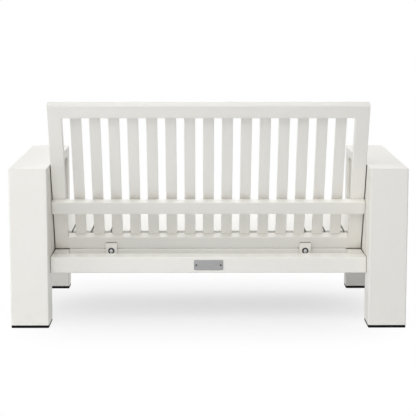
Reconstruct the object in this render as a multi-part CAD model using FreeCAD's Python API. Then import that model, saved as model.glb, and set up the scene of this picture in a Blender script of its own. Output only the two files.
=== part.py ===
import FreeCAD, Part
import math
import os

# Outdoor loveseat frame, a bare welded aluminium frame without cushions.
# Millimetres, +Z up. The origin is on the floor under the middle of the seat.
# The sitter faces -Y, so the back is on the +Y side. Left and right are -X and +X.

# Overall sizes
overall_width = 1400.0
overall_depth = 780.0
arm_height = 569.0

# Legs and arms
rear_leg_width = 134.0
rear_leg_depth = 130.0
front_leg_width = 145.0
front_leg_depth = 80.0
leg_wall = 2.0
leg_corner = 5.0
arm_thickness = 35.0
arm_wall = 2.0
arm_edge = 3.0
arm_lip = 4.0
arm_bend = 300.0
panel_thickness = 30.0
panel_wall = 1.6
panel_corner = 3.0

# Foot pads
foot_height = 10.0
foot_inset = 0.5
foot_corner = 5.0
foot_plug_height = 22.0
foot_plug_play = 0.3
foot_plug_corner = 3.0

# Seat base
base_bottom = 183.5
base_height = 58.0
base_wall = 2.0
base_corner = 4.0
base_side_play = 1.5
side_rail_width = 55.0
rear_rail_depth = 79.0
rear_rail_inset = 77.0
cross_rail_depth = 50.0
cross_rail_rise = 2.0
front_rail_inset = 15.0
drain_diameter = 6.0
drain_end_offset = 145.0

# Seat deck
bearer_height = 49.5
bearer_depth = 40.0
bearer_setback = 13.0
board_thickness = 15.0
board_gap = 4.7
board_wall = 1.5
board_corner = 2.5
board_count = 14
deck_side_width = 60.0
deck_leg_play = 1.0
deck_back_play = 6.0

# Back frame
back_angle = 23.5
back_height = 593.6
back_side_play = 2.5
back_face = 49.0
back_depth = 34.0
back_wall = 1.8
back_corner = 2.5
back_top_inset = 10.0
back_foot_ledge = 3.0
mid_rail_height = 49.0
mid_rail_depth = 26.0
mid_rail_above_foot = 165.2
mid_rail_overhang = 1.5
slat_count = 15
slat_width = 39.0
slat_thickness = 10.0
slat_wall = 1.2
slat_corner = 2.0
slat_front_recess = 1.0

# Fixing blocks and their bolts
block_width = 42.5
block_depth = 17.0
block_above_joint = 22.0
block_below_joint = 40.0
block_end_offset = 153.0
block_corner = 2.5
block_bolt_below_joint = 6.0
block_bolt_radius = 3.0
bolt_play = 0.3
block_bolt_flange_radius = 11.5
block_bolt_flange_height = 2.5
block_bolt_head_across = 14.0
block_bolt_head_height = 6.0
block_bolt_grip = 12.0

# Bolts between seat base and arms
frame_bolt_radius = 4.0
frame_bolt_head_radius = 7.5
frame_bolt_head_height = 6.0
frame_bolt_socket = 5.0
frame_bolt_socket_depth = 4.0
frame_bolt_grip = 14.0
frame_bolt_end_offset = 90.0
spacer_radius = 11.0

# Plate on the rear rail
plate_width = 105.0
plate_height = 37.0
plate_thickness = 1.5
plate_corner = 4.0

# Modelling values: how far cutters run past a face, how near counts as on a face,
# and the smallest inner corner of a tube
overcut = 1.0
mitre_overcut = 20.0
on_face = 0.01
least_corner = 0.5

# Levels and planes that follow from the sizes above
half_width = overall_width / 2
rear_plane = overall_depth / 2
front_plane = -overall_depth / 2
rear_leg_inner = half_width - rear_leg_width
front_leg_inner = half_width - front_leg_width
rear_leg_front = rear_plane - rear_leg_depth
front_leg_rear = front_plane + front_leg_depth
arm_underside = arm_height - arm_thickness
base_top = base_bottom + base_height
bearer_top = base_top + bearer_height
deck_top = bearer_top + board_thickness
base_half = rear_leg_inner - base_side_play
side_rail_inner = base_half - side_rail_width
rear_rail_rear = rear_plane - rear_rail_inset
rear_rail_front = rear_rail_rear - rear_rail_depth
front_rail_front = front_plane + front_rail_inset
front_rail_rear = front_leg_rear
back_half = rear_leg_inner - back_side_play
back_inner = back_half - back_face
joint_level = base_top + cross_rail_rise
block_from_middle = side_rail_inner - block_end_offset
lean = math.radians(back_angle)

# The top of the back frame stops a little ahead of the rear faces of the rear legs.
back_foot = rear_plane - back_top_inset - back_height * math.sin(lean)
cross_rail_rear = back_foot + back_foot_ledge
cross_rail_front = cross_rail_rear - cross_rail_depth

# The rounded rear corner of the back's foot bears on the cross rail, and its toe stands clear of it.
foot_rise = back_corner * (math.sin(lean) + math.cos(lean) - 1.0)
back_toe = back_foot - back_depth * math.cos(lean)
toe_level = joint_level - foot_rise + back_depth * math.sin(lean)
deck_rear = back_toe + (bearer_top - toe_level) * math.tan(lean) - deck_back_play
bearer_rear = back_toe - bearer_setback

X_AXIS = FreeCAD.Vector(1, 0, 0)
Y_AXIS = FreeCAD.Vector(0, 1, 0)
Z_AXIS = FreeCAD.Vector(0, 0, 1)


def save(shape, name):
    shape.exportStep("parts/" + name + ".step")


def box(x0, x1, y0, y1, z0, z1):
    corner = FreeCAD.Vector(min(x0, x1), min(y0, y1), min(z0, z1))
    return Part.makeBox(abs(x1 - x0), abs(y1 - y0), abs(z1 - z0), corner)


def edges_along(shape, axis):
    found = []
    for edge in shape.Edges:
        if isinstance(edge.Curve, Part.Line):
            if abs(edge.Curve.Direction.dot(axis)) > 0.999:
                found.append(edge)
    return found


def bar(x0, x1, y0, y1, z0, z1, along, corner):
    # Bar with its four long edges rounded.
    plain = box(x0, x1, y0, y1, z0, z1)
    return plain.makeFillet(corner, edges_along(plain, along))


def inner_corner(corner, wall):
    return max(corner - wall, least_corner)


def tube(x0, x1, y0, y1, z0, z1, along, corner, wall):
    # Open-ended box tube.
    outer = bar(x0, x1, y0, y1, z0, z1, along, corner)
    grow = along * (wall + overcut) - FreeCAD.Vector(wall, wall, wall)
    inner = bar(x0 - grow.x, x1 + grow.x, y0 - grow.y, y1 + grow.y, z0 - grow.z, z1 + grow.z,
                along, inner_corner(corner, wall))
    return outer.cut(inner)


def capped_tube(x0, x1, y0, y1, z0, z1, corner, wall):
    # Box tube along X with closed ends and two drain holes in its lower face.
    shape = bar(x0, x1, y0, y1, z0, z1, X_AXIS, corner)
    shape = shape.cut(bar(x0 + wall, x1 - wall, y0 + wall, y1 - wall, z0 + wall, z1 - wall,
                          X_AXIS, inner_corner(corner, wall)))
    middle = (x0 + x1) / 2
    from_middle = (x1 - x0) / 2 - drain_end_offset
    for side in (-1, 1):
        start = FreeCAD.Vector(middle + side * from_middle, (y0 + y1) / 2, z0 - overcut)
        shape = shape.cut(Part.makeCylinder(drain_diameter / 2, wall + 2 * overcut, start))
    return shape


def prism_x(points, x0, x1):
    # Side profile given as (y, z) points, carried across from x0 to x1.
    corners = [FreeCAD.Vector(x0, y, z) for y, z in points]
    wire = Part.makePolygon(corners + [corners[0]])
    return Part.Face(wire).extrude(FreeCAD.Vector(x1 - x0, 0, 0))


def mirrored(shape):
    return shape.mirror(FreeCAD.Vector(0, 0, 0), X_AXIS)


def save_pair(shape, name):
    # The shape given is the one on the +X side.
    save(shape, name + "_right")
    save(mirrored(shape), name + "_left")


def rod_y(x, z, radius, y0, y1):
    low = min(y0, y1)
    return Part.makeCylinder(radius, abs(y1 - y0), FreeCAD.Vector(x, low, z), Y_AXIS)


def rod_x(y, z, radius, x0, x1):
    low = min(x0, x1)
    return Part.makeCylinder(radius, abs(x1 - x0), FreeCAD.Vector(low, y, z), X_AXIS)


os.makedirs("parts", exist_ok=True)

# Arms: each leg meets the arm top on a slanted mitre, which starts under a thin lip
# at the outer end and comes out at the underside of the arm top.
mitre_start = arm_height - arm_lip


def mitre_cutter(outer, inner, above):
    # Everything above or below the mitre of a leg that reaches from y = outer to y = inner.
    slope = (arm_underside - mitre_start) / (inner - outer)
    step = math.copysign(mitre_overcut, outer - inner)
    start = outer + step
    end = inner - step if above else inner
    level = arm_height + mitre_overcut if above else arm_underside - mitre_overcut
    points = [(start, mitre_start + slope * (start - outer)),
              (end, mitre_start + slope * (end - outer)),
              (end, level),
              (start, level)]
    x_low = min(front_leg_inner, rear_leg_inner) - mitre_overcut
    return prism_x(points, x_low, half_width + mitre_overcut)


rear_leg = tube(rear_leg_inner, half_width, rear_leg_front, rear_plane,
                foot_height, arm_height, Z_AXIS, leg_corner, leg_wall)
rear_leg = rear_leg.cut(mitre_cutter(rear_plane, rear_leg_front, True))
front_leg = tube(front_leg_inner, half_width, front_plane, front_leg_rear,
                 foot_height, arm_height, Z_AXIS, leg_corner, leg_wall)
front_leg = front_leg.cut(mitre_cutter(front_plane, front_leg_rear, True))


def rounded_face(points, radii, z):
    # Flat face at height z with the given plan corners, each rounded by its own radius.
    # A corner where the outline runs straight on stays a plain point.
    corners = [FreeCAD.Vector(x, y, z) for x, y in points]
    starts = []
    ends = []
    edges = []
    for i, here in enumerate(corners):
        back = (corners[i - 1] - here).normalize()
        ahead = (corners[(i + 1) % len(corners)] - here).normalize()
        half = back.getAngle(ahead) / 2
        reach = radii[i] / math.tan(half)
        if reach < on_face:
            starts.append(here)
            ends.append(here)
            continue
        middle = here + (back + ahead).normalize() * (radii[i] / math.sin(half) - radii[i])
        starts.append(here + back * reach)
        ends.append(here + ahead * reach)
        edges.append(Part.Arc(starts[i], middle, ends[i]).toShape())
    for i in range(len(corners)):
        edges.append(Part.makeLine(ends[i], starts[(i + 1) % len(corners)]))
    return Part.Face(Part.Wire(Part.__sortEdges__(edges)))


def arm_plan(inset, z0, z1, corner, bend):
    # Plan of the arm top: the inner side widens from the rear leg to the front leg.
    outline = [(half_width - inset, rear_plane - inset),
               (half_width - inset, front_plane + inset),
               (front_leg_inner + inset, front_plane + inset),
               (front_leg_inner + inset, front_leg_rear),
               (rear_leg_inner + inset, rear_leg_front),
               (rear_leg_inner + inset, rear_plane - inset)]
    radii = [corner, corner, corner, bend, bend, corner]
    return rounded_face(outline, radii, z0).extrude(FreeCAD.Vector(0, 0, z1 - z0))


arm_top = arm_plan(0.0, arm_underside, arm_height, leg_corner, arm_bend)
rim = [edge for edge in arm_top.Edges if edge.BoundBox.ZMin > arm_height - on_face]
arm_top = arm_top.makeFillet(arm_edge, rim)
arm_hollow = arm_plan(arm_wall, arm_underside + arm_wall, arm_height - arm_wall,
                      inner_corner(leg_corner, arm_wall), arm_bend)
arm_top = arm_top.cut(arm_hollow)
arm_top = arm_top.cut(mitre_cutter(rear_plane, rear_leg_front, False))
arm_top = arm_top.cut(mitre_cutter(front_plane, front_leg_rear, False))

frame_bolt_z = base_bottom + base_height / 2
frame_bolt_ys = [(rear_rail_front + cross_rail_rear) / 2, front_leg_rear + frame_bolt_end_offset]

# Side panel: fills the arm between its legs, from the level of the seat base to the arm top.
panel = tube(rear_leg_inner, rear_leg_inner + panel_thickness, front_leg_rear, rear_leg_front,
             base_bottom, arm_underside, Y_AXIS, panel_corner, panel_wall)
for y in frame_bolt_ys:
    hole = rod_x(y, frame_bolt_z, frame_bolt_radius + bolt_play,
                 rear_leg_inner - overcut, rear_leg_inner + panel_wall + overcut)
    panel = panel.cut(hole)


def foot_pad(x0, x1, y0, y1):
    pad = bar(x0 + foot_inset, x1 - foot_inset, y0 + foot_inset, y1 - foot_inset,
              0.0, foot_height, Z_AXIS, foot_corner)
    gap = leg_wall + foot_plug_play
    plug = bar(x0 + gap, x1 - gap, y0 + gap, y1 - gap,
               foot_height, foot_height + foot_plug_height, Z_AXIS, foot_plug_corner)
    core = gap + leg_wall
    hollow = box(x0 + core, x1 - core, y0 + core, y1 - core,
                 foot_height, foot_height + foot_plug_height + overcut)
    return pad.fuse(plug.cut(hollow)).removeSplitter()


save_pair(rear_leg, "rear_leg")
save_pair(front_leg, "front_leg")
save_pair(arm_top, "arm_top")
save_pair(panel, "side_panel")
save_pair(foot_pad(rear_leg_inner, half_width, rear_leg_front, rear_plane), "rear_foot")
save_pair(foot_pad(front_leg_inner, half_width, front_plane, front_leg_rear), "front_foot")

# Seat base
rear_rail = capped_tube(-base_half, base_half, rear_rail_front, rear_rail_rear,
                        base_bottom, base_top, base_corner, base_wall)
save(rear_rail, "rear_rail")

side_rail = tube(side_rail_inner, base_half, front_leg_rear, rear_rail_front,
                 base_bottom, base_top, Y_AXIS, base_corner, base_wall)
for y in frame_bolt_ys:
    side_rail = side_rail.cut(rod_x(y, frame_bolt_z, frame_bolt_radius + bolt_play,
                                    side_rail_inner - overcut, base_half + overcut))
save_pair(side_rail, "side_rail")

block_bolt_z = joint_level - block_bolt_below_joint
cross_rail = tube(-side_rail_inner, side_rail_inner, cross_rail_front, cross_rail_rear,
                  joint_level - base_height, joint_level, X_AXIS, base_corner, base_wall)
for side in (-1, 1):
    cross_rail = cross_rail.cut(rod_y(side * block_from_middle, block_bolt_z, block_bolt_radius + bolt_play,
                                      cross_rail_rear + overcut, cross_rail_rear - base_wall - overcut))
save(cross_rail, "cross_rail")

front_rail = tube(-front_leg_inner, front_leg_inner, front_rail_front, front_rail_rear,
                  base_bottom, bearer_top, X_AXIS, base_corner, base_wall)
save(front_rail, "front_rail")

bearer = tube(-base_half, base_half, bearer_rear - bearer_depth, bearer_rear,
              base_top, bearer_top, X_AXIS, board_corner, base_wall)
save(bearer, "seat_bearer")

# Seat deck: boards are trays, hollow from below, that lie on the bearer and the front rail.


def board(x0, x1, y0, y1):
    solid = box(x0, x1, y0, y1, bearer_top, deck_top)
    rims = [edge for edge in solid.Edges if edge.BoundBox.ZMax > deck_top - on_face]
    solid = solid.makeFillet(board_corner, rims)
    hollow = box(x0 + board_wall, x1 - board_wall, y0 + board_wall, y1 - board_wall,
                 bearer_top - overcut, deck_top - board_wall)
    return solid.cut(hollow)


deck_half = base_half - deck_side_width
board_width = (2 * deck_half - (board_count + 1) * board_gap) / board_count
for i in range(board_count):
    left = -deck_half + board_gap + i * (board_width + board_gap)
    save(board(left, left + board_width, front_rail_front, deck_rear), "seat_board_%02d" % (i + 1))

# The wide side boards are cut away beside the front legs.
leg_notch_x = front_leg_inner - deck_leg_play
leg_notch_y = front_leg_rear + deck_leg_play
side_outline = [(deck_half, front_rail_front), (leg_notch_x, front_rail_front), (leg_notch_x, leg_notch_y),
                (base_half, leg_notch_y), (base_half, deck_rear), (deck_half, deck_rear)]
side_corners = [FreeCAD.Vector(x, y, bearer_top) for x, y in side_outline]
side_face = Part.Face(Part.makePolygon(side_corners + [side_corners[0]]))
side_board = side_face.extrude(FreeCAD.Vector(0, 0, board_thickness))
side_rims = [edge for edge in side_board.Edges if edge.BoundBox.ZMin > deck_top - on_face]
side_board = side_board.makeFillet(board_corner, side_rims)
side_board = side_board.cut(box(deck_half + board_wall, leg_notch_x - board_wall,
                                front_rail_front + board_wall, deck_rear - board_wall,
                                bearer_top - overcut, deck_top - board_wall))
side_board = side_board.cut(box(deck_half + board_wall, base_half - board_wall,
                                leg_notch_y + board_wall, deck_rear - board_wall,
                                bearer_top - overcut, deck_top - board_wall))
save_pair(side_board, "seat_side_board")

# Back frame: drawn upright with its rear face on y = 0 and its foot on z = 0, then leaned back.


def leaned(shape):
    turned = shape.copy()
    turned.rotate(FreeCAD.Vector(0, 0, 0), X_AXIS, -back_angle)
    turned.translate(FreeCAD.Vector(0, back_foot, joint_level - foot_rise))
    return turned


def corner_cut(x, z, side, end, keep_upright):
    # Cutter at the outer corner (x, z) of the back frame, on one side of the 45 degree mitre.
    # side and end are +1 or -1 and point outward in x and z.
    reach = 3 * back_face
    inner = (x - side * reach, z - end * reach)
    outer = (x + side * reach, z + end * reach)
    if keep_upright:
        third = (x - side * reach, z + end * reach)
    else:
        third = (x + side * reach, z - end * reach)
    corners = [FreeCAD.Vector(px, mitre_overcut, pz) for px, pz in (inner, outer, third)]
    face = Part.Face(Part.makePolygon(corners + [corners[0]]))
    return face.extrude(FreeCAD.Vector(0, -back_depth - 2 * mitre_overcut, 0))


top_rail = tube(-back_half, back_half, -back_depth, 0.0, back_height - back_face, back_height,
                X_AXIS, back_corner, back_wall)
bottom_rail = tube(-back_half, back_half, -back_depth, 0.0, 0.0, back_face, X_AXIS, back_corner, back_wall)
stile = tube(back_inner, back_half, -back_depth, 0.0, 0.0, back_height, Z_AXIS, back_corner, back_wall)
for side in (-1, 1):
    top_rail = top_rail.cut(corner_cut(side * back_half, back_height, side, 1, False))
    bottom_rail = bottom_rail.cut(corner_cut(side * back_half, 0.0, side, -1, False))
stile = stile.cut(corner_cut(back_half, back_height, 1, 1, True))
stile = stile.cut(corner_cut(back_half, 0.0, 1, -1, True))
save(leaned(top_rail), "back_top_rail")
save(leaned(bottom_rail), "back_bottom_rail")
save_pair(leaned(stile), "back_stile")

# Middle rail: a closed tube on the rear of the stiles, a little longer than the frame is wide.
mid_rail_half = back_half + mid_rail_overhang
mid_rail = capped_tube(-mid_rail_half, mid_rail_half, 0.0, mid_rail_depth, mid_rail_above_foot,
                       mid_rail_above_foot + mid_rail_height, back_corner, back_wall)
save(leaned(mid_rail), "back_middle_rail")

slat_gap = (2 * back_inner - slat_count * slat_width) / (slat_count + 1)
slat_front = -back_depth + slat_front_recess
for i in range(slat_count):
    left = -back_inner + slat_gap + i * (slat_width + slat_gap)
    slat = tube(left, left + slat_width, slat_front, slat_front + slat_thickness,
                back_face, back_height - back_face, Z_AXIS, slat_corner, slat_wall)
    save(leaned(slat), "back_slat_%02d" % (i + 1))

# Fixing blocks: each lies against the rear of the cross rail below the joint, and its upper part
# reaches over the rail to the leaning rear face of the bottom rail.


def back_face_y(z):
    # Rear face of the leaned back frame at height z.
    return back_foot + (z - joint_level + foot_rise) * math.tan(lean)


block_top = joint_level + block_above_joint
block_bottom = joint_level - block_below_joint
block_rear = cross_rail_rear + block_depth
block_profile = [(cross_rail_rear, block_bottom),
                 (block_rear, block_bottom),
                 (block_rear, block_top),
                 (back_face_y(block_top), block_top),
                 (back_face_y(joint_level), joint_level),
                 (cross_rail_rear, joint_level)]


def fixing_block(middle):
    solid = prism_x(block_profile, middle - block_width / 2, middle + block_width / 2)
    outer = []
    for edge in solid.Edges:
        if edge.BoundBox.YMin > block_rear - on_face:
            outer.append(edge)
    solid = solid.makeFillet(block_corner, outer)
    return solid.cut(rod_y(middle, block_bolt_z, block_bolt_radius + bolt_play,
                           block_rear + overcut, cross_rail_rear - overcut))


save(fixing_block(block_from_middle), "fixing_block_right")
save(fixing_block(-block_from_middle), "fixing_block_left")


def hex_along_y(x, z, across, y0, y1):
    radius = across / math.sqrt(3.0)
    corners = []
    for i in range(6):
        turn = math.radians(60 * i + 30)
        corners.append(FreeCAD.Vector(x + radius * math.cos(turn), y0, z + radius * math.sin(turn)))
    face = Part.Face(Part.makePolygon(corners + [corners[0]]))
    return face.extrude(FreeCAD.Vector(0, y1 - y0, 0))


def block_bolt(middle):
    flange_top = block_rear + block_bolt_flange_height
    shank = rod_y(middle, block_bolt_z, block_bolt_radius, flange_top, cross_rail_rear - block_bolt_grip)
    flange = rod_y(middle, block_bolt_z, block_bolt_flange_radius, block_rear, flange_top)
    head = hex_along_y(middle, block_bolt_z, block_bolt_head_across, flange_top,
                       flange_top + block_bolt_head_height)
    return shank.fuse([flange, head]).removeSplitter()


save(Part.makeCompound([block_bolt(side * block_from_middle) for side in (-1, 1)]), "block_bolts")

# Bolts and spacers between the side rails and the side panels


def frame_bolt(y):
    # Round head with a hexagon socket, on the inner face of the side rail.
    head_start = side_rail_inner - frame_bolt_head_height
    shank = rod_x(y, frame_bolt_z, frame_bolt_radius, side_rail_inner, rear_leg_inner + frame_bolt_grip)
    head = rod_x(y, frame_bolt_z, frame_bolt_head_radius, head_start, side_rail_inner)
    radius = frame_bolt_socket / math.sqrt(3.0)
    corners = []
    for i in range(6):
        turn = math.radians(60 * i)
        corners.append(FreeCAD.Vector(head_start, y + radius * math.cos(turn),
                                      frame_bolt_z + radius * math.sin(turn)))
    face = Part.Face(Part.makePolygon(corners + [corners[0]]))
    socket = face.extrude(FreeCAD.Vector(frame_bolt_socket_depth, 0, 0))
    return shank.fuse(head).removeSplitter().cut(socket)


def spacer(y):
    ring = rod_x(y, frame_bolt_z, spacer_radius, base_half, rear_leg_inner)
    return ring.cut(rod_x(y, frame_bolt_z, frame_bolt_radius + bolt_play,
                          base_half - overcut, rear_leg_inner + overcut))


bolts = [frame_bolt(y) for y in frame_bolt_ys]
spacers = [spacer(y) for y in frame_bolt_ys]
save(Part.makeCompound(bolts + [mirrored(item) for item in bolts]), "frame_bolts")
save(Part.makeCompound(spacers + [mirrored(item) for item in spacers]), "frame_spacers")

# Plain plate on the rear rail
plate_z = base_bottom + base_height / 2
plate = bar(-plate_width / 2, plate_width / 2, rear_rail_rear, rear_rail_rear + plate_thickness,
            plate_z - plate_height / 2, plate_z + plate_height / 2, Y_AXIS, plate_corner)
save(plate, "name_plate")
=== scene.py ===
import math

import bmesh
import bpy
from bpy.props import FloatProperty, FloatVectorProperty, IntProperty, PointerProperty
from bpy.types import Operator, Panel, PropertyGroup
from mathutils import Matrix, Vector


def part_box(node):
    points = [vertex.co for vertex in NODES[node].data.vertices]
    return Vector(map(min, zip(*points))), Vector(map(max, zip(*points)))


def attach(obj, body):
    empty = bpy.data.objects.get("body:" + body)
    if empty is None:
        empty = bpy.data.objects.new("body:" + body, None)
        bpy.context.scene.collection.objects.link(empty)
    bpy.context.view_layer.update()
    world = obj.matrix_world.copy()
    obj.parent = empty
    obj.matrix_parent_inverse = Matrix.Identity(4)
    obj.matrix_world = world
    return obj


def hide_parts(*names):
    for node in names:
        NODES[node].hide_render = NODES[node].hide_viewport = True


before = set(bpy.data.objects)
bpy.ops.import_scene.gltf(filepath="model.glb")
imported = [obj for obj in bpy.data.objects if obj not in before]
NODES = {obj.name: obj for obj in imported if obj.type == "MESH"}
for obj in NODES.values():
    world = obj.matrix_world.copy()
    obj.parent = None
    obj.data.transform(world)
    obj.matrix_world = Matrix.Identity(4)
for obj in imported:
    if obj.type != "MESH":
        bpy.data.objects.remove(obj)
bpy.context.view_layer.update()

bl_info = {
    "name": "Outdoor Loveseat Frame",
    "version": (1, 0, 0),
    "blender": (4, 5, 0),
    "location": "3D View > Sidebar > Loveseat",
    "description": "Finishes, welds, feet, bolts and plate of a slatted outdoor loveseat frame",
    "category": "Object",
}

SLOT_OF = {name: node.material_slots[0].material.name for name, node in NODES.items()}

X_AXIS = Vector((1, 0, 0))
WHITE = (1.0, 1.0, 1.0, 1.0)

IMAGE_SIDE = 416
SENSOR_WIDTH = 36.0
SIDES = ("left", "right")
SLATS = sorted(name for name in NODES if name.startswith("back_slat_"))
BOARDS = sorted(name for name in NODES if name.startswith("seat_") and "board" in name)
LAMPS = ("back", "high", "side", "low", "front", "deck")

# Fineness of the round shapes, and the edges that stay sharp
SHARP_ANGLE = math.radians(38)
CORNER_STEPS = 6
DOME_RINGS = 6
RIVET_SIDES = 24
BEAD_SIDES = 8
BEAD_STEPS_PER_RIPPLE = 4
BEAD_FEWEST_STEPS = 6

# A weld bead: its ends, ripples and unevenness as shares of its radius, and the pace of the unevenness
BEAD_END = 0.45
BEAD_RIPPLE = 0.09
BEAD_WANDER = 0.04
BEAD_WANDER_PACE = 37

# A foot pad: how high the bend of its chamfer lies in the chamfer, and its tightest corner
CHAMFER_BEND = 0.6
LEAST_FOOT_CORNER = 0.0015

# A bolt's flange, from its seat outward: shares of its radius and of its height
FLANGE_OUTLINE = ((0.55, 0.0), (1.0, 0.0), (1.0, 0.40), (0.97, 0.58), (0.86, 0.84))
# The root of its hexagon: shares of the width across flats and of the flange's height
HEXAGON_ROOT = ((1.03, 0.98), (1.0, 1.12))
# Where the flats end and the crown starts, as shares of the whole height, and the crown's radius in widths
HEXAGON_TOP = 0.62
CROWN_FOOT = 0.74
CROWN_SHARE = 0.47
# Where the painted dark reflection on the flange is full, in radii of the bright crown
DARK_REFLECTION_FROM = 1.16

# The plate: its rounded edge as a share of its thickness, the bend of that edge, and its tightest corner
PLATE_EDGE = 0.25
PLATE_BEND = 0.3
LEAST_PLATE_CORNER = 0.001


# Finishes: the sockets, the node trees and the materials made from them

class Socket:
    """A shader socket. Each sum with it adds one Math node to its tree."""

    def __init__(self, graph, link):
        self.graph = graph
        self.link = link

    def out(self, name):
        """Another output of the same node."""
        return Socket(self.graph, self.link.node.outputs[name])

    def math(self, operation, *values):
        return self.graph.node("ShaderNodeMath", {"operation": operation}, dict(enumerate(values)))

    def __add__(self, other):
        return self.math("ADD", self, other)

    def __radd__(self, other):
        return self.math("ADD", other, self)

    def __sub__(self, other):
        return self.math("SUBTRACT", self, other)

    def __rsub__(self, other):
        return self.math("SUBTRACT", other, self)

    def __mul__(self, other):
        return self.math("MULTIPLY", self, other)

    def __rmul__(self, other):
        return self.math("MULTIPLY", other, self)

    def __truediv__(self, other):
        return self.math("DIVIDE", self, other)

    def __pow__(self, other):
        return self.math("POWER", self, other)

    def most(self, other):
        return self.math("MAXIMUM", self, other)

    def sine(self):
        return self.math("SINE", self)

    def ramp(self, start, end):
        """0 at start, 1 at end, with a soft step between them."""
        settings = {"interpolation_type": "SMOOTHSTEP", "clamp": True}
        inputs = {"Value": self, "From Min": start, "From Max": end}
        return self.graph.node("ShaderNodeMapRange", settings, inputs)

    def swing(self, depth):
        """The same pattern about zero, with this depth from its lowest to its highest value."""
        return depth * (self - 0.5)


class Graph:
    """The node tree of one material, or of the world."""

    def __init__(self, owner):
        owner.use_nodes = True
        self.tree = owner.node_tree
        self.tree.nodes.clear()

    def node(self, kind, settings=None, inputs=None):
        """Adds a node: its settings first, then the values or links of its sockets."""
        made = self.tree.nodes.new(kind)
        for key, value in (settings or {}).items():
            setattr(made, key, value)
        for key, value in (inputs or {}).items():
            if isinstance(value, Socket):
                self.tree.links.new(value.link, made.inputs[key])
            else:
                made.inputs[key].default_value = value
        shown = [socket for socket in made.outputs if socket.enabled]
        return Socket(self, shown[0] if shown else None)

    def place(self):
        return self.node("ShaderNodeTexCoord").out("Object")

    def noise(self, place, scale, detail=2.0, roughness=0.5):
        inputs = {"Vector": place, "Scale": scale, "Detail": detail, "Roughness": roughness}
        return self.node("ShaderNodeTexNoise", {"noise_dimensions": "3D"}, inputs).out("Fac")

    def cells(self, place, scale):
        inputs = {"Vector": place, "Scale": scale}
        return self.node("ShaderNodeTexVoronoi", {"feature": "F1"}, inputs).out("Distance")

    def stretched(self, place, scale):
        inputs = {"Vector": place, "Scale": scale}
        return self.node("ShaderNodeMapping", {"vector_type": "POINT"}, inputs)

    def part(self, vector, axis):
        return self.node("ShaderNodeSeparateXYZ", None, {"Vector": vector}).out(axis)

    def low_down(self, place, full, none):
        """1 up to one height above the floor, fading to 0 at another."""
        return 1 - self.part(place, "Z").ramp(full, none)

    def mix(self, share, start, end):
        """A colour between two colours."""
        inputs = {0: share, 6: start, 7: end}
        return self.node("ShaderNodeMix", {"data_type": "RGBA", "blend_type": "MIX"}, inputs)

    def scaled(self, colour, tone):
        """A colour, lighter or darker by a factor."""
        return self.node("ShaderNodeVectorMath", {"operation": "SCALE"}, {0: colour, "Scale": tone})

    def edges(self, radius, gain):
        """A mask of the faces beside outer edges."""
        bevel = self.node("ShaderNodeBevel", {"samples": 4}, {"Radius": radius})
        normal = self.node("ShaderNodeNewGeometry").out("Normal")
        match = self.node("ShaderNodeVectorMath", {"operation": "DOT_PRODUCT"}, {0: bevel, 1: normal})
        return ((1 - match.out("Value")) * gain).ramp(0.0, 1.0)

    def corners(self, reach):
        """A mask of the surfaces inside joints and corners."""
        settings = {"samples": 16, "only_local": False}
        open_share = self.node("ShaderNodeAmbientOcclusion", settings, {"Distance": reach}).out("AO")
        return 1 - open_share

    def bump(self, height, distance, strength):
        inputs = {"Height": height, "Distance": distance, "Strength": strength}
        return self.node("ShaderNodeBump", None, inputs)

    def surface(self, shader):
        self.node("ShaderNodeOutputMaterial", None, {"Surface": shader})

    def principled(self, inputs):
        self.surface(self.node("ShaderNodeBsdfPrincipled", None, inputs))


def new_finish(name):
    finish = bpy.data.materials.new(name)
    return finish, Graph(finish)


def coat_finish(looks):
    """Satin powder coat: fine orange peel, slow drift of tone, a thin edge, a little soil splashed low
    down, and painted shade in corners, joints and narrow seams.
    """
    finish, graph = new_finish("white_powder_coat")
    place = graph.place()
    drift = graph.noise(place, scale=1.9)
    mottle = graph.noise(place, scale=42.0, detail=4.0, roughness=0.6)
    piece = graph.node("ShaderNodeObjectInfo").out("Random")
    tone = 1 + drift.swing(0.022) + mottle.swing(0.024) + piece.swing(0.010)
    thin = graph.edges(radius=0.004, gain=6.0) * mottle.ramp(0.35, 0.75)
    spatter = graph.noise(place, scale=26.0, detail=5.0, roughness=0.65).ramp(0.42, 0.72)
    splash = graph.low_down(place, full=0.01, none=0.14) * spatter
    # Painted shade: the corner mask darkens surfaces inside joints and corners toward the soil colour. The
    # splash low on the legs is real soil.
    corner_shade = graph.corners(looks.corner_shade_reach).ramp(0.10, 0.90)
    soil_and_shade = (corner_shade + looks.splash_share * splash).ramp(0.0, 1.0)
    # Painted shade: a short corner mask darkens narrow seams and gaps nearly to black.
    seam_shade = graph.corners(looks.seam_shade_reach).ramp(0.30, 0.70)
    plain = graph.scaled(looks.coat_colour[:3], tone)
    edged = graph.mix(looks.edge_share * thin, plain, looks.edge_colour)
    with_soil_and_shade = graph.mix(looks.soil_and_shade_share * soil_and_shade, edged, looks.dust_and_shade_colour)
    with_seam_shade = graph.mix(looks.seam_shade_share * seam_shade, with_soil_and_shade, looks.seam_shade_colour)
    peel = graph.noise(place, scale=1 / looks.coat_grain, roughness=0.55)
    fine = graph.noise(place, scale=4.1 / looks.coat_grain, detail=1.0)
    graph.principled({
        "Base Color": with_seam_shade,
        "Roughness": looks.coat_roughness + mottle.swing(0.10) + 0.06 * thin + 0.06 * soil_and_shade,
        "Normal": graph.bump(0.7 * peel + 0.3 * fine, distance=0.00012, strength=0.30),
        "IOR": 1.47,
        "Coat Weight": 0.10,
        "Coat Roughness": 0.30,
    })
    return finish


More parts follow.
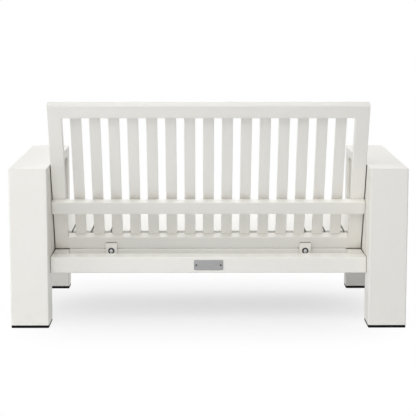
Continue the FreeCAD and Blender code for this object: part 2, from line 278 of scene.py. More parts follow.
def plastic_finish(name, colour, looks, grain):
    """Moulded black plastic: leathery grain, rubbed edges and pale dust low down."""
    finish, graph = new_finish(name)
    place = graph.place()
    cells = graph.cells(place, scale=1 / grain)
    cloud = graph.noise(place, scale=55.0, detail=4.0, roughness=0.6)
    rubbed = graph.edges(radius=0.002, gain=8.0) * cloud.ramp(0.40, 0.70)
    specks = graph.noise(place, scale=90.0, detail=4.0, roughness=0.7).ramp(0.45, 0.75)
    dust = graph.low_down(place, full=0.0, none=0.008) * specks
    plain = graph.scaled(colour[:3], 1 + cloud.swing(0.3))
    worn = graph.mix(looks.rubbed_share * rubbed, plain, looks.rubbed_colour)
    dusty = graph.mix(looks.dust_share * dust, worn, looks.dust_and_shade_colour)
    graph.principled({
        "Base Color": dusty,
        "Roughness": looks.plastic_roughness + cloud.swing(0.16) + 0.10 * rubbed + 0.15 * dust,
        "Normal": graph.bump(cells, distance=0.0002, strength=0.35),
        "Specular IOR Level": 0.06,
    })
    return finish


def steel_finish(name, looks, colour, turned):
    """Plated steel, cloudy, with edges rubbed bright that also serve as a painted highlight. A turned head
    has fine rings about its axis, and its flange is coloured dark as a painted dark reflection.
    """
    finish, graph = new_finish(name)
    place = graph.place()
    cloud = graph.noise(place, scale=260.0, detail=4.0, roughness=0.6)
    spots = graph.noise(place, scale=900.0)
    tone = 0.86 + 0.22 * cloud + spots.swing(0.06)
    plain = graph.scaled(colour[:3], tone)
    # Rubbed metal along the edges is lighter there, and it also serves as a painted highlight.
    bright = 0.5 * graph.edges(radius=0.0012, gain=7.0)
    if turned:
        across = {0: place, 1: (1.0, 0.0, 1.0)}
        flat = graph.node("ShaderNodeVectorMath", {"operation": "MULTIPLY"}, across)
        from_axis = graph.node("ShaderNodeVectorMath", {"operation": "LENGTH"}, {0: flat}).out("Value")
        grain = 0.5 + 0.5 * (from_axis * (2 * math.pi / looks.ring_pitch)).sine()
        # Painted dark reflection: outside the bright crown the head is coloured dark in place of a
        # reflection.
        flange_dark_reflection = from_axis.ramp(looks.crown_radius, DARK_REFLECTION_FROM * looks.crown_radius)
        plain = graph.mix(flange_dark_reflection, plain, graph.scaled(looks.flange_reflection_colour[:3], tone))
        bright = bright * (1 - 0.85 * flange_dark_reflection)
    else:
        grain = graph.noise(graph.stretched(place, (300.0, 2400.0, 300.0)), scale=1.0)
    graph.principled({
        "Base Color": graph.mix(bright, plain, looks.rubbed_edge_highlight_colour),
        "Metallic": 1.0,
        "Roughness": looks.steel_roughness + cloud.swing(0.16) + 0.08 * grain,
        "Normal": graph.bump(0.6 * grain + 0.4 * spots, distance=0.00006, strength=0.35),
    })
    return finish


def plate_finish(looks):
    """Aluminium plate brushed from side to side, duller in its field, and bright on its border as rubbed
    metal and a painted highlight.
    """
    finish, graph = new_finish("brushed_plate")
    place = graph.place()
    drawn = graph.stretched(place, (22.0, 400.0, 2600.0))
    streaks = graph.noise(drawn, scale=1.0, detail=3.0, roughness=0.6)
    cloud = graph.noise(place, scale=60.0, detail=3.0)
    # The border's edges are lighter: rubbed metal that also serves as a painted highlight.
    bright = 0.6 * graph.edges(radius=0.0008, gain=6.0)
    tone = 0.72 + 0.46 * streaks + cloud.swing(0.16)
    plain = graph.scaled(looks.plate_colour[:3], tone)
    graph.principled({
        "Base Color": graph.mix(bright, plain, looks.rubbed_edge_highlight_colour),
        "Metallic": 1.0,
        "Roughness": looks.plate_roughness + streaks.swing(0.20) + cloud.swing(0.10),
        "Normal": graph.bump(streaks, distance=0.00005, strength=0.45),
    })
    return finish


def floor_finish(stage):
    """Pale floor that takes the shadow near the frame, lightened by a painted white glow that only the
    camera and reflections see, and turns plain white further out.
    """
    finish, graph = new_finish("pale_floor")
    place = graph.place()
    across = graph.part(place, "X") / stage.shadow_width
    along = (graph.part(place, "Y") - stage.shadow_middle) / stage.shadow_depth
    flank = (across * across) ** 3
    reach = (flank + along * along) ** 0.5
    grain = graph.noise(place, scale=220.0, detail=3.0)
    ground = graph.node("ShaderNodeBsdfPrincipled", None, {
        "Base Color": graph.scaled(stage.floor_colour[:3], 1 + grain.swing(0.006)),
        "Roughness": 0.90 + grain.swing(0.1),
        "Specular IOR Level": 0.1,
    })
    white = graph.node("ShaderNodeEmission", None, {"Color": WHITE, "Strength": 1.0})
    # Painted light: toward the camera the floor is mixed with a white glow. It is partly mixed in under
    # the seat, lightening the shadow there, and fully further out.
    clear = stage.shadow_clear + (1 - stage.shadow_clear) * reach.ramp(0.0, 1.0)
    share = seen_directly(graph) * clear
    graph.surface(graph.node("ShaderNodeMixShader", None, {0: share, 1: ground, 2: white}))
    return finish


def seen_directly(graph):
    """1 for what the camera sees, straight on or in a reflection, and 0 for light on the frame."""
    path = graph.node("ShaderNodeLightPath")
    seen = path.out("Is Camera Ray").most(path.out("Is Glossy Ray"))
    return seen.most(path.out("Is Transmission Ray"))


# Shared shapes

def new_piece(name, shape, finish):
    """Turns a bmesh into a piece that rides on the frame."""
    bmesh.ops.recalc_face_normals(shape, faces=shape.faces[:])
    mesh = bpy.data.meshes.new(name)
    shape.to_mesh(mesh)
    shape.free()
    mesh.materials.append(finish)
    mesh.polygons.foreach_set("use_smooth", [True] * len(mesh.polygons))
    mesh.set_sharp_from_angle(angle=SHARP_ANGLE)
    piece = bpy.data.objects.new(name, mesh)
    bpy.context.scene.collection.objects.link(piece)
    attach(piece, "root")
    return piece


def loft(shape, loops):
    """Skins closed loops of equal count in order, and closes the two ends."""
    rings = [[shape.verts.new(point) for point in loop] for loop in loops]
    for lower, upper in zip(rings, rings[1:]):
        for i in range(len(lower)):
            j = (i + 1) % len(lower)
            shape.faces.new((lower[i], lower[j], upper[j], upper[i]))
    shape.faces.new(rings[0][::-1])
    shape.faces.new(rings[-1])


def rounded_loop(half_width, half_height, corner):
    """Points round a rounded rectangle about the origin, as pairs."""
    points = []
    for turn, (sx, sy) in enumerate(((1, 1), (-1, 1), (-1, -1), (1, -1))):
        for step in range(CORNER_STEPS + 1):
            angle = math.pi / 2 * (turn + step / CORNER_STEPS)
            along = sx * (half_width - corner) + corner * math.cos(angle)
            up = sy * (half_height - corner) + corner * math.sin(angle)
            points.append((along, up))
    return points


def ring_points(radius, count):
    """Points round a circle about the origin, as pairs."""
    turns = [2 * math.pi * i / count for i in range(count)]
    return [(radius * math.cos(turn), radius * math.sin(turn)) for turn in turns]


def hexagon_points(across_flats, count):
    """Points round a hexagon, evenly turned, so that they pair with those of a ring."""
    points = []
    for i in range(count):
        angle = 2 * math.pi * i / count
        inside = (angle % (math.pi / 3)) - math.pi / 6
        reach = across_flats / 2 / math.cos(inside)
        points.append((reach * math.cos(angle), reach * math.sin(angle)))
    return points


def dome_rings(radius, start, end):
    """Radius and height of each ring of a dome, from its rim to close to its top."""
    rings = []
    for ring in range(DOME_RINGS):
        angle = math.pi / 2 * ring / (DOME_RINGS - 0.5)
        rings.append((radius * math.cos(angle), start + (end - start) * math.sin(angle)))
    return rings


def bead(shape, start, end, radius, ripple):
    """One weld run: a rounded bead with the ripples of the weld pool, thinner at its two ends."""
    run = end - start
    length = run.length
    along = run.normalized()
    across = along.orthogonal().normalized()
    over = along.cross(across)
    steps = max(BEAD_FEWEST_STEPS, round(BEAD_STEPS_PER_RIPPLE * length / ripple))
    loops = []
    for step in range(steps + 1):
        reach = length * step / steps
        to_end = max(0.0, min(reach, length - reach)) / radius
        swell = BEAD_END + (1 - BEAD_END) * math.sqrt(min(1.0, to_end))
        pool = BEAD_RIPPLE * math.cos(2 * math.pi * reach / ripple)
        wander = BEAD_WANDER * math.sin(BEAD_WANDER_PACE * reach / ripple)
        ring = ring_points(radius * swell * (1 + pool + wander), BEAD_SIDES)
        middle = start + along * reach
        loops.append([middle + across * u + over * v for u, v in ring])
    loft(shape, loops)


def reach_along(node, direction):
    """How far a node reaches along a direction: its lowest and highest value."""
    values = [vertex.co.dot(direction) for vertex in NODES[node].data.vertices]
    return min(values), max(values)


def back_axes():
    """The leaned back's own directions: up along the slats, and out of its rear face."""
    points = [vertex.co for vertex in NODES[SLATS[0]].data.vertices]
    level = sum(point.z for point in points) / len(points)
    upper = [point for point in points if point.z > level]
    lower = [point for point in points if point.z <= level]
    top = sum(upper, Vector()) / len(upper)
    foot = sum(lower, Vector()) / len(lower)
    up = (top - foot).normalized()
    return up, up.cross(X_AXIS)


def coat():
    """The powder coat that the frame already has."""
    return bpy.data.materials["white_powder_coat"]


# The sizes and colours that a user would change

def colour_value(name, description, value):
    return FloatVectorProperty(name=name, description=description, subtype="COLOR", size=4,
                               min=0.0, max=1.0, default=(*value, 1.0))


def place_value(name, description, value):
    return FloatVectorProperty(name=name, description=description, subtype="XYZ", unit="LENGTH", size=3,
                               default=value)


def length_value(name, description, value):
    return FloatProperty(name=name, description=description, unit="LENGTH", precision=5, min=0.0,
                         default=value)


def angle_value(name, description, value):
    return FloatProperty(name=name, description=description, unit="ROTATION", default=value)


def share_value(name, description, value):
    return FloatProperty(name=name, description=description, subtype="FACTOR", min=0.0, max=1.0,
                         default=value)


def power_value(name, description, value):
    return FloatProperty(name=name, description=description, unit="POWER", min=0.0, default=value)


def light_value(name, description, value):
    return FloatProperty(name=name, description=description, min=0.0, default=value)


class LoveseatFinishes(PropertyGroup):
    """Colours and textures of the frame and its small parts."""

    coat_colour: colour_value("Coat", "Powder coat on the frame", (0.866, 0.850, 0.802))
    coat_roughness: share_value("Coat roughness", "Roughness of the powder coat", 0.42)
    coat_grain: length_value("Coat grain", "Size of the coat's orange peel", 0.0017)
    edge_colour: colour_value("Thin coat", "Powder coat where it is thin", (0.760, 0.742, 0.695))
    edge_share: share_value("Thin share", "How strongly the thin coat along edges shows", 0.22)
    # The soil colour, share and reach also paint shade into joints and corners, and only the splash low on
    # the legs is real soil. On the plastic the same colour is real dust.
    dust_and_shade_colour: colour_value("Soil", "Dust in joints and low on the legs", (0.46, 0.42, 0.36))
    soil_and_shade_share: share_value("Soil share", "How strongly the soil shows", 0.30)
    corner_shade_reach: length_value("Soil reach", "Width of the corners and gaps that hold dust", 0.034)
    splash_share: share_value("Splash share", "Soil splashed on the legs, beside that in corners", 0.35)
    # Painted shade: the seam colour, share and reach darken narrow seams and gaps. They stand for the
    # shade in them.
    seam_shade_colour: colour_value("Seams", "Dirt packed into narrow seams", (0.075, 0.070, 0.060))
    seam_shade_share: share_value("Seam share", "How strongly the dirt in the seams shows", 0.85)
    seam_shade_reach: length_value("Seam reach", "Width of the narrow seams that hold dirt", 0.007)
    foot_colour: colour_value("Feet", "Moulded plastic of the foot pads", (0.004, 0.004, 0.0045))
    spacer_colour: colour_value("Spacers", "Moulded plastic of the spacers", (0.018, 0.018, 0.018))
    plastic_roughness: share_value("Plastic roughness", "Roughness of the moulded plastic", 0.62)
    foot_grain: length_value("Foot grain", "Size of the foot pads' moulded grain", 0.0009)
    spacer_grain: length_value("Spacer grain", "Size of the spacers' moulded grain", 0.00054)
    rubbed_colour: colour_value("Rubbed plastic", "Plastic along rubbed edges", (0.085, 0.085, 0.085))
    rubbed_share: share_value("Rubbed share", "How strongly the rubbed edges show", 0.15)
    dust_share: share_value("Dust share", "How strongly the dust on the plastic shows", 0.12)
    steel_colour: colour_value("Bolts", "Zinc-plated steel of the bolts", (0.62, 0.62, 0.625))
    steel_roughness: share_value("Steel roughness", "Roughness of the plated steel", 0.25)
    # Painted dark reflection: the flange colour darkens a bolt's flange in place of a reflection.
    flange_reflection_colour: colour_value("Bolt flange", "Blackened steel of a flange", (0.055, 0.055, 0.058))
    crown_radius: length_value("Bolt crown", "Radius of the bright crown of a bolt's head", 0.0060)
    ring_pitch: length_value("Turning rings", "Distance between a bolt head's turning marks", 0.0007)
    # The bright edge colour is rubbed metal and also a painted highlight.
    rubbed_edge_highlight_colour: colour_value("Bright edges", "Metal where its edges are rubbed", (0.78, 0.78, 0.77))
    plate_colour: colour_value("Plate", "Brushed aluminium of the plate", (0.285, 0.285, 0.289))
    plate_roughness: share_value("Plate roughness", "Roughness of the brushed plate", 0.36)
    # Rivet colour: darkened steel, and also painted shade standing for the recesses round the rivets.
    rivet_shade_colour: colour_value("Rivets", "Darkened steel of the rivets", (0.055, 0.055, 0.057))


class LoveseatDetails(PropertyGroup):
    """Sizes of the welds, feet, bolt heads and plate."""

    slat_bead: length_value("Slat weld", "Radius of the weld at a slat's end", 0.0007)
    frame_bead: length_value("Frame weld", "Radius of the welds between the larger tubes", 0.0026)
    tack_bead: length_value("Tack weld", "Radius of the tacks beside the seat boards", 0.0016)
    tack_length: length_value("Tack length", "Length of a tack beside a seat board", 0.016)
    ripple: length_value("Weld ripple", "Distance between the ripples of a weld", 0.0032)
    tube_corner: length_value("Tube corner", "Rounded tube edge that a weld stops short of", 0.004)
    foot_height: length_value("Foot height", "Height of the part of a foot pad that shows", 0.010)
    foot_corner: length_value("Foot corner", "Rounded upright corners of a foot pad", 0.005)
    foot_rim: length_value("Foot rim", "Width of the rim that a foot pad stands on", 0.009)
    foot_recess: length_value("Foot recess", "Depth of the hollow inside that rim", 0.0015)
    foot_recess_slope: length_value("Recess slope", "How far the sides of that hollow lean", 0.0006)
    foot_chamfer: length_value("Foot chamfer", "Sloped lower edge of a foot pad", 0.0011)
    foot_chamfer_inset: length_value("Chamfer bend", "Inset of the bend in that edge", 0.0005)
    groove_level: length_value("Groove level", "Height of the lower edge of a foot's groove", 0.0052)
    groove_width: length_value("Groove width", "Width of the groove round a foot pad", 0.0018)
    groove_slope: length_value("Groove slope", "Height of the groove's sloped sides", 0.0004)
    groove_depth: length_value("Groove depth", "Depth of the groove round a foot pad", 0.0009)
    shoulder_height: length_value("Foot shoulder", "Height of a foot's sloped upper edge", 0.0007)
    shoulder_inset: length_value("Shoulder inset", "Inset of a foot's sloped upper edge", 0.0004)
    plug_inset: length_value("Plug inset", "How far a foot's plug stands in from the pad", 0.0018)
    plug_lead: length_value("Plug lead", "Height of the tapered top of a foot's plug", 0.003)
    plug_taper: length_value("Plug taper", "How far the top of a foot's plug draws in", 0.0028)
    flange_radius: length_value("Bolt flange", "Radius of the flange under a bolt's head", 0.0115)
    flange_height: length_value("Bolt flange height", "Thickness of the flange at its middle", 0.0025)
    head_flats: length_value("Bolt head", "Width of a hexagon head across its flats", 0.014)
    head_height: length_value("Bolt head height", "Height of a head above its flange", 0.006)
    plate_corner: length_value("Plate corner", "Rounded corners of the plate", 0.004)
    plate_border: length_value("Plate border", "Width of the raised border of the plate", 0.0022)
    plate_field: length_value("Plate field", "Depth of the field inside the border", 0.0005)
    rivet_radius: length_value("Rivet", "Radius of a rivet head on the plate", 0.0036)
    rivet_height: length_value("Rivet height", "Height of a rivet head on the plate", 0.0013)
    rivet_inset: length_value("Rivet inset", "Distance of a rivet from the plate's end", 0.0092)
    round_steps: IntProperty(name="Round steps", description="Sides of a round bolt head", default=48,
                             min=12, max=96)


class LoveseatStage(PropertyGroup):
    """Camera, lamps and floor."""

    camera_place: place_value("Camera", "Place of the camera", (0.0295, 5.5234, 1.1947))
    camera_pitch: angle_value("Pitch", "How far the camera looks down", 0.1478)
    camera_yaw: angle_value("Yaw", "How far the camera turns to its right", 0.0053)
    focal_pixels: FloatProperty(name="Focal length", description="Focal length in pixels of the picture",
                                subtype="PIXEL", min=100.0, default=1480.3)
    dome_colour: colour_value("Dome colour", "Colour of the light from all round", (1.0, 1.0, 1.0))
    dome_light: light_value("Dome light", "Strength of the light from all round", 0.08)
    rear_light: light_value("Rear light", "Strength of that light straight behind", 0.715)
    aim_height: length_value("Aim height", "Height that the lamps point at", 0.4)
    back_place: place_value("Back lamp", "Place of the lamp behind the loveseat", (0.6, 4.2, 3.6))
    back_size: length_value("Back lamp size", "Side of the lamp behind the loveseat", 1.2)
    back_power: power_value("Back lamp power", "Power of the lamp behind the loveseat", 27.0)
    high_place: place_value("High lamp", "Place of the lamp high above the back", (1.0, 3.0, 4.4))
    high_size: length_value("High lamp size", "Side of the lamp high above the back", 2.4)
    high_power: power_value("High lamp power", "Power of the lamp high above the back", 48.0)
    side_place: place_value("Side lamp", "Place of the lamp beside the right arm", (4.6, 1.6, 1.2))
    side_size: length_value("Side lamp size", "Side of the lamp beside the right arm", 1.8)
    side_power: power_value("Side lamp power", "Power of the lamp beside the right arm", 56.0)
    low_place: place_value("Low lamp", "Place of the lamp low down behind", (0.35, 3.4, 0.28))
    low_size: length_value("Low lamp size", "Side of the lamp low down behind", 0.5)
    low_power: power_value("Low lamp power", "Power of the lamp low down behind", 9.0)
    front_place: place_value("Front lamp", "Place of the lamp high in front", (0.0, -3.2, 3.3))
    front_size: length_value("Front lamp size", "Side of the lamp high in front", 2.6)
    front_power: power_value("Front lamp power", "Power of the lamp high in front", 80.0)
    deck_place: place_value("Deck lamp", "Place of the lamp low in front", (0.0, -2.8, 1.0))
    deck_size: length_value("Deck lamp size", "Side of the lamp low in front", 1.2)
    deck_power: power_value("Deck lamp power", "Power of the lamp low in front", 4.5)
    floor_colour: colour_value("Floor", "Pale floor", (0.915, 0.925, 0.955))
    floor_side: length_value("Floor side", "Side of the square floor", 24.0)
    # Painted light: these values set how much white glow lightens the floor's shadow under the seat, and
    # over what area.
    shadow_clear: share_value("Clear share", "How far the shadow is cleared under the seat", 0.57)
    shadow_middle: length_value("Shadow middle", "How far behind the frame's middle it is darkest", 0.05)
    shadow_width: length_value("Shadow width", "Half the width over which the shadow clears", 0.78)
    shadow_depth: length_value("Shadow depth", "Half the depth over which the shadow clears", 0.72)


# One operator for each group of like pieces

class LOVESEAT_OT_coat_frame(Operator):
    """Coat every tube, rail, slat, board and block of the frame"""

    bl_idname = "loveseat.coat_frame"
    bl_label = "Coat Frame"

    def execute(self, context):
        finish = coat_finish(context.scene.loveseat_finishes)
        for name, node in NODES.items():
            if SLOT_OF[name] == "frame_coating":
                node.material_slots[0].material = finish
        return {"FINISHED"}


class LOVESEAT_OT_slat_welds(Operator):
    """Weld the ends of the back slats to the back's top and bottom rails"""

    bl_idname = "loveseat.slat_welds"
    bl_label = "Slat Welds"

    def execute(self, context):
        sizes = context.scene.loveseat_details
        up, rear = back_axes()
        for name in SLATS:
            shape = bmesh.new()
            left, right = reach_along(name, X_AXIS)
            front, back = reach_along(name, rear)
            for level in reach_along(name, up):
                path = [X_AXIS * across + up * level + rear * out
                        for across, out in ((left, front), (left, back), (right, back), (right, front))]
                for start, end in zip(path, path[1:]):
                    bead(shape, start, end, sizes.slat_bead, sizes.ripple)
            new_piece(name.replace("back_slat", "slat_welds"), shape, coat())
        return {"FINISHED"}


class LOVESEAT_OT_back_welds(Operator):
    """Weld the back's middle rail to the two stiles"""

    bl_idname = "loveseat.back_welds"
    bl_label = "Back Welds"

    def execute(self, context):
        sizes = context.scene.loveseat_details
        up, rear = back_axes()
        for side in SIDES:
            shape = bmesh.new()
            inner, outer = reach_along("back_stile_" + side, X_AXIS)
            seat = reach_along("back_middle_rail", rear)[0]
            lowest, highest = reach_along("back_middle_rail", up)
            for level in (lowest, highest):
                start = X_AXIS * (inner + sizes.frame_bead) + up * level + rear * seat
                end = X_AXIS * (outer - sizes.frame_bead) + up * level + rear * seat
                bead(shape, start, end, sizes.frame_bead, sizes.ripple)
            new_piece("back_welds_" + side, shape, coat())
        return {"FINISHED"}


class LOVESEAT_OT_base_welds(Operator):
    """Weld the panels, base rails and bearer to each other and to the legs"""

    bl_idname = "loveseat.base_welds"
    bl_label = "Base Welds"

    def execute(self, context):
        sizes = context.scene.loveseat_details
        clear = sizes.tube_corner
        for side, sign in (("left", -1), ("right", 1)):
            shape = bmesh.new()
            panel_low, panel_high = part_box("side_panel_" + side)
            rail_low, rail_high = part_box("side_rail_" + side)
            front_low, front_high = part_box("front_rail")
            cross_low, cross_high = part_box("cross_rail")
            bearer_low, bearer_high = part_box("seat_bearer")
            panel_face = panel_high.x if sign > 0 else panel_low.x
            rail_face = rail_low.x if sign > 0 else rail_high.x
            rail_outer = rail_high.x if sign > 0 else rail_low.x
            front_end = front_high.x if sign > 0 else front_low.x
            uprights = [
                (panel_face, panel_low.y, panel_low.z, panel_high.z),
                (panel_face, panel_high.y, panel_low.z, panel_high.z),
                (rail_face, rail_low.y, rail_low.z, rail_high.z),
                (rail_face, rail_high.y, rail_low.z, rail_high.z),
                (rail_face, cross_low.y, cross_low.z, rail_high.z),
                (rail_face, cross_high.y, cross_low.z, rail_high.z),
                (front_end, front_low.y, front_low.z, front_high.z),
            ]
            for x, y, foot, top in uprights:
                start = Vector((x, y, foot + clear))
                end = Vector((x, y, top - clear))
                bead(shape, start, end, sizes.frame_bead, sizes.ripple)
            for y in (bearer_low.y, bearer_high.y):
                start = Vector((rail_face + sign * clear, y, bearer_low.z))
                end = Vector((rail_outer - sign * clear, y, bearer_low.z))
                bead(shape, start, end, sizes.frame_bead, sizes.ripple)
            new_piece("base_welds_" + side, shape, coat())
        return {"FINISHED"}


class LOVESEAT_OT_board_tacks(Operator):
    """Tack the seat boards to the bearer and to the front rail, in the gaps between the boards"""

    bl_idname = "loveseat.board_tacks"
    bl_label = "Board Tacks"

    def execute(self, context):
        sizes = context.scene.loveseat_details
        shape = bmesh.new()
        supports = [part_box("seat_bearer"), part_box("front_rail")]
        ends = reach_along("seat_bearer", X_AXIS)
        for name in BOARDS:
            low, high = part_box(name)
            for x in (low.x, high.x):
                if min(abs(x - end) for end in ends) < sizes.tack_length / 2:
                    continue
                for support_low, support_high in supports:
                    middle = (support_low.y + support_high.y) / 2
                    start = Vector((x, middle - sizes.tack_length / 2, low.z))
                    end = Vector((x, middle + sizes.tack_length / 2, low.z))
                    bead(shape, start, end, sizes.tack_bead, sizes.ripple)
        new_piece("board_tacks", shape, coat())
        return {"FINISHED"}


class LOVESEAT_OT_foot_pads(Operator):
    """Mould the four foot pads, with a groove round each and a hollow underside"""

    bl_idname = "loveseat.foot_pads"
    bl_label = "Foot Pads"

    def execute(self, context):
        looks = context.scene.loveseat_finishes
        sizes = context.scene.loveseat_details
        finish = plastic_finish("black_foot_plastic", looks.foot_colour, looks, looks.foot_grain)
        tall = sizes.foot_height
        hollow = sizes.foot_chamfer + sizes.foot_rim
        groove_top = sizes.groove_level + sizes.groove_width
        for node in sorted(name for name in NODES if SLOT_OF[name] == "foot_black"):
            shape = bmesh.new()
            low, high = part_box(node)
            middle = (low + high) / 2
            half = (high - low) / 2
            rows = [
                (sizes.foot_recess, hollow + sizes.foot_recess_slope),
                (0.0, hollow),
                (0.0, sizes.foot_chamfer),
                (CHAMFER_BEND * sizes.foot_chamfer, sizes.foot_chamfer_inset),
                (sizes.foot_chamfer, 0.0),
                (sizes.groove_level, 0.0),
                (sizes.groove_level + sizes.groove_slope, sizes.groove_depth),
                (groove_top - sizes.groove_slope, sizes.groove_depth),
                (groove_top, 0.0),
                (tall - sizes.shoulder_height, 0.0),
                (tall, sizes.shoulder_inset),
                (tall, sizes.plug_inset),
                (2 * half.z - sizes.plug_lead, sizes.plug_inset),
                (2 * half.z, sizes.plug_inset + sizes.plug_taper),
            ]
            loops = []
            for level, inset in rows:
                corner = max(sizes.foot_corner - inset, LEAST_FOOT_CORNER)
                outline = rounded_loop(half.x - inset, half.y - inset, corner)
                loops.append([Vector((middle.x + u, middle.y + v, low.z + level)) for u, v in outline])
            loft(shape, loops)
            pad = new_piece(node.replace("foot", "foot_pad"), shape, finish)
            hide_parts(node)
        return {"FINISHED"}


class LOVESEAT_OT_block_bolts(Operator):
    """Turn the two flanged hexagon bolts that hold the blocks of the back"""

    bl_idname = "loveseat.block_bolts"
    bl_label = "Block Bolts"

    def execute(self, context):
        looks = context.scene.loveseat_finishes
        sizes = context.scene.loveseat_details
        finish = steel_finish("turned_bolt_steel", looks, looks.steel_colour, True)
        low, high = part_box("block_bolts")
        level = (low.z + high.z) / 2
        count = sizes.round_steps
        flange = sizes.flange_radius
        flats = sizes.head_flats
        rise = sizes.flange_height
        tall = rise + sizes.head_height
        seat = high.y - tall
        rows = [(ring_points(radius * flange, count), out * rise) for radius, out in FLANGE_OUTLINE]
        rows += [(hexagon_points(width * flats, count), out * rise) for width, out in HEXAGON_ROOT]
        rows.append((hexagon_points(flats, count), HEXAGON_TOP * tall))
        crown = dome_rings(CROWN_SHARE * flats, CROWN_FOOT * tall, tall)
        rows += [(ring_points(radius, count), out) for radius, out in crown]
        for side, x in (("left", low.x + flange), ("right", high.x - flange)):
            shape = bmesh.new()
            loops = [[Vector((u, out, v)) for u, v in outline] for outline, out in rows]
            loft(shape, loops)
            bolt = new_piece("block_bolt_" + side, shape, finish)
            bolt.location = (x, seat, level)
            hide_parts("block_bolts")
        return {"FINISHED"}


class LOVESEAT_OT_frame_bolts(Operator):
    """Finish the bolts and spacers between the side rails and the panels"""

    bl_idname = "loveseat.frame_bolts"
    bl_label = "Frame Bolts"

    def execute(self, context):
        looks = context.scene.loveseat_finishes
        steel = steel_finish("plated_bolt_steel", looks, looks.steel_colour, False)
        plastic = plastic_finish("black_spacer_plastic", looks.spacer_colour, looks, looks.spacer_grain)
        NODES["frame_bolts"].material_slots[0].material = steel
        NODES["frame_spacers"].material_slots[0].material = plastic
        return {"FINISHED"}


class LOVESEAT_OT_name_plate(Operator):
    """Press the bare plate on the rear rail, with its raised border and two rivets"""

    bl_idname = "loveseat.name_plate"
    bl_label = "Plate"

    def execute(self, context):
        looks = context.scene.loveseat_finishes
        sizes = context.scene.loveseat_details
        low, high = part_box("name_plate")
        middle = (low + high) / 2
        half = (high - low) / 2
        edge = PLATE_EDGE * (high.y - low.y)
        border = sizes.plate_border
        rows = [
            (low.y, 0.0),
            (high.y - edge, 0.0),
            (high.y - PLATE_BEND * edge, PLATE_BEND * edge),
            (high.y, edge),
            (high.y, border),
            (high.y - sizes.plate_field, border + sizes.plate_field),
        ]
        shape = bmesh.new()
        loops = []
        for out, inset in rows:
            corner = max(sizes.plate_corner - inset, LEAST_PLATE_CORNER)
            outline = rounded_loop(half.x - inset, half.z - inset, corner)
            loops.append([Vector((middle.x + u, out, middle.z + v)) for u, v in outline])
        loft(shape, loops)
        plate = new_piece("plate_face", shape, plate_finish(looks))
        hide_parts("name_plate")
        rivets = bmesh.new()
        for x in (low.x + sizes.rivet_inset, high.x - sizes.rivet_inset):
            self.rivet(rivets, Vector((x, high.y - sizes.plate_field, middle.z)), sizes)
        # The rivets' dark colour is darkened steel and also painted shade standing for their recesses.
        steel = steel_finish("dark_rivet_steel", looks, looks.rivet_shade_colour, False)
        new_piece("plate_rivets", rivets, steel)
        return {"FINISHED"}

    def rivet(self, shape, seat, sizes):
        """A domed rivet head that stands out of the plate's field."""
        loops = []
        for radius, out in dome_rings(sizes.rivet_radius, 0.0, sizes.rivet_height):
            loops.append([seat + Vector((u, out, v)) for u, v in ring_points(radius, RIVET_SIDES)])
        loft(shape, loops)


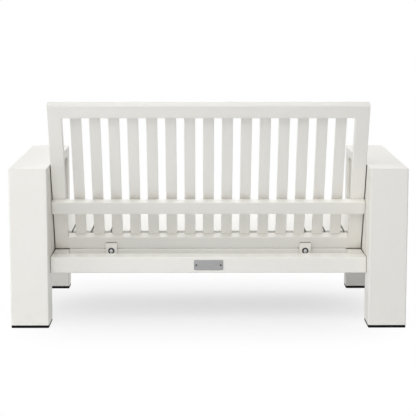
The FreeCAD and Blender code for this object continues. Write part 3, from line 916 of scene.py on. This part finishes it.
class LOVESEAT_OT_stage(Operator):
    """Set the floor, the soft lamps, the white surroundings and the camera"""

    bl_idname = "loveseat.stage"
    bl_label = "Stage"

    def execute(self, context):
        stage = context.scene.loveseat_stage
        self.floor(stage)
        self.surroundings(context.scene, stage)
        for name in LAMPS:
            self.lamp(stage, name)
        self.camera(context.scene, stage)
        context.scene.view_settings.view_transform = "Standard"
        return {"FINISHED"}

    def floor(self, stage):
        """A flat square under the feet."""
        half = stage.floor_side / 2
        shape = bmesh.new()
        corners = ((-half, -half, 0.0), (half, -half, 0.0), (half, half, 0.0), (-half, half, 0.0))
        shape.faces.new([shape.verts.new(corner) for corner in corners])
        mesh = bpy.data.meshes.new("floor")
        shape.to_mesh(mesh)
        shape.free()
        mesh.materials.append(floor_finish(stage))
        ground = bpy.data.objects.new("floor", mesh)
        bpy.context.scene.collection.objects.link(ground)

    def surroundings(self, scene, stage):
        """White to look at, with a soft light from all round that is strongest straight behind."""
        scene.world = bpy.data.worlds.new("white_surroundings")
        graph = Graph(scene.world)
        behind = graph.part(graph.node("ShaderNodeTexCoord").out("Generated"), "Y").most(0.0)
        even = self.sky(graph, stage.dome_colour, stage.dome_light)
        rear = self.sky(graph, stage.dome_colour, stage.rear_light)
        dome = graph.node("ShaderNodeMixShader", None, {0: behind, 1: even, 2: rear})
        white = self.sky(graph, WHITE, 1.0)
        shown = graph.node("ShaderNodeMixShader", None, {0: seen_directly(graph), 1: dome, 2: white})
        graph.node("ShaderNodeOutputWorld", None, {"Surface": shown})

    def sky(self, graph, colour, strength):
        return graph.node("ShaderNodeBackground", None, {"Color": colour, "Strength": strength})

    def lamp(self, stage, name):
        """One square soft lamp, turned to the middle of the loveseat."""
        light = bpy.data.lights.new(name + "_lamp", "AREA")
        light.shape = "SQUARE"
        light.size = getattr(stage, name + "_size")
        light.energy = getattr(stage, name + "_power")
        lamp = bpy.data.objects.new(name + "_lamp", light)
        lamp.location = getattr(stage, name + "_place")
        aim = Vector((0.0, 0.0, stage.aim_height)) - lamp.location
        lamp.rotation_euler = aim.to_track_quat("-Z", "Y").to_euler()
        lamp.visible_camera = False
        bpy.context.scene.collection.objects.link(lamp)

    def camera(self, scene, stage):
        """The camera behind the loveseat, level from side to side."""
        lens = bpy.data.cameras.new("camera")
        lens.sensor_width = SENSOR_WIDTH
        lens.lens = SENSOR_WIDTH * stage.focal_pixels / IMAGE_SIDE
        camera = bpy.data.objects.new("camera", lens)
        camera.location = stage.camera_place
        camera.rotation_euler = (math.pi / 2 - stage.camera_pitch, 0.0, math.pi - stage.camera_yaw)
        scene.collection.objects.link(camera)
        scene.camera = camera


class LOVESEAT_PT_pieces(Panel):
    """The pieces and the stage, in the order in which they are made"""

    bl_idname = "LOVESEAT_PT_pieces"
    bl_label = "Loveseat"
    bl_space_type = "VIEW_3D"
    bl_region_type = "UI"
    bl_category = "Loveseat"

    def draw(self, context):
        for operator in OPERATORS:
            self.layout.operator(operator.bl_idname)
        scene = context.scene
        for group in (scene.loveseat_finishes, scene.loveseat_details, scene.loveseat_stage):
            box = self.layout.box()
            for key in group.__annotations__:
                box.prop(group, key)


OPERATORS = (
    LOVESEAT_OT_coat_frame,
    LOVESEAT_OT_slat_welds,
    LOVESEAT_OT_back_welds,
    LOVESEAT_OT_base_welds,
    LOVESEAT_OT_board_tacks,
    LOVESEAT_OT_foot_pads,
    LOVESEAT_OT_block_bolts,
    LOVESEAT_OT_frame_bolts,
    LOVESEAT_OT_name_plate,
    LOVESEAT_OT_stage,
)
CLASSES = (LoveseatFinishes, LoveseatDetails, LoveseatStage, *OPERATORS, LOVESEAT_PT_pieces)


def register():
    for item in CLASSES:
        bpy.utils.register_class(item)
    bpy.types.Scene.loveseat_finishes = PointerProperty(type=LoveseatFinishes)
    bpy.types.Scene.loveseat_details = PointerProperty(type=LoveseatDetails)
    bpy.types.Scene.loveseat_stage = PointerProperty(type=LoveseatStage)


def unregister():
    del bpy.types.Scene.loveseat_stage
    del bpy.types.Scene.loveseat_details
    del bpy.types.Scene.loveseat_finishes
    for item in reversed(CLASSES):
        bpy.utils.unregister_class(item)


def main():
    register()
    bpy.ops.loveseat.coat_frame()
    bpy.ops.loveseat.slat_welds()
    bpy.ops.loveseat.back_welds()
    bpy.ops.loveseat.base_welds()
    bpy.ops.loveseat.board_tacks()
    bpy.ops.loveseat.foot_pads()
    bpy.ops.loveseat.block_bolts()
    bpy.ops.loveseat.frame_bolts()
    bpy.ops.loveseat.name_plate()
    bpy.ops.loveseat.stage()


if __name__ == "__main__":
    main()
